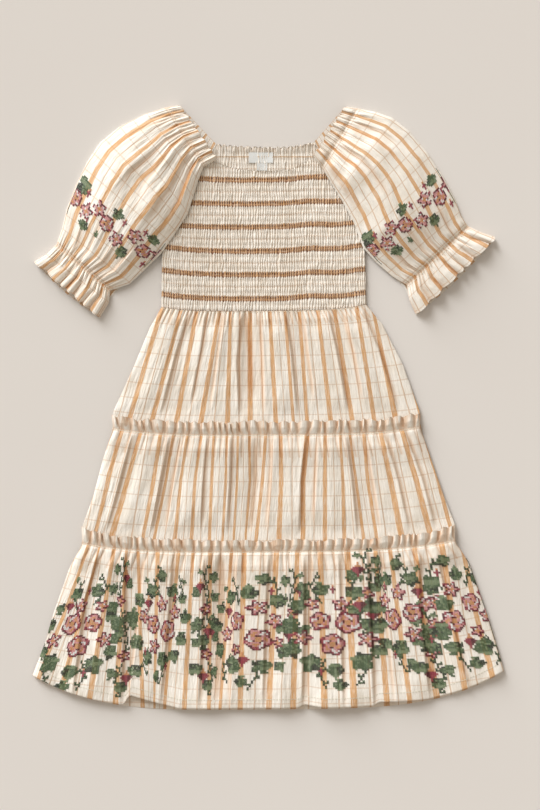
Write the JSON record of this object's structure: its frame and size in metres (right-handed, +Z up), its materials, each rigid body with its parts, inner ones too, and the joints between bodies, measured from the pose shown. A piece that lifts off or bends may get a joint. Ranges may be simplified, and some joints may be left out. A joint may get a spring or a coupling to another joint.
{
  "type": "child's smocked tiered dress, laid flat",
  "caption": "Child's cotton dress with a smocked bodice, puff sleeves with frilled cuffs and a tiered gathered skirt, laid flat on its back.",
  "frame": {"origin": "centre of the dress's bounding box, on the surface that it lies on", "axes": "+Y towards the neckline, +Z up off the surface through the front, +X to the right as seen from above"},
  "size_m": [0.5082, 0.6522, 0.0213],
  "materials": {
    "checked_cotton": "matt crinkled cotton, cream with tan stripes and thin tan check lines",
    "shirred_cotton": "matt cream cotton with tan cross stripes, drawn up by rows of elastic thread",
    "label_tape": "smooth off-white woven tape, blank",
    "embroidery_thread": "cross-stitched cotton thread in rose, burgundy, peach and greens, with a soft sheen"
  },
  "bodies": {
    "root": {"bodice_front": "shirred_cotton", "bodice_back": "shirred_cotton", "skirt_tier_1_front": "checked_cotton", "skirt_tier_1_back": "checked_cotton", "skirt_tier_2_front": "checked_cotton", "skirt_tier_2_back": "checked_cotton", "skirt_tier_3_front": "checked_cotton", "skirt_tier_3_back": "checked_cotton", "sleeve_left": "checked_cotton", "sleeve_right": "checked_cotton", "neck_label": "label_tape", "size_tab": "label_tape"}
  },
  "joints": []
}
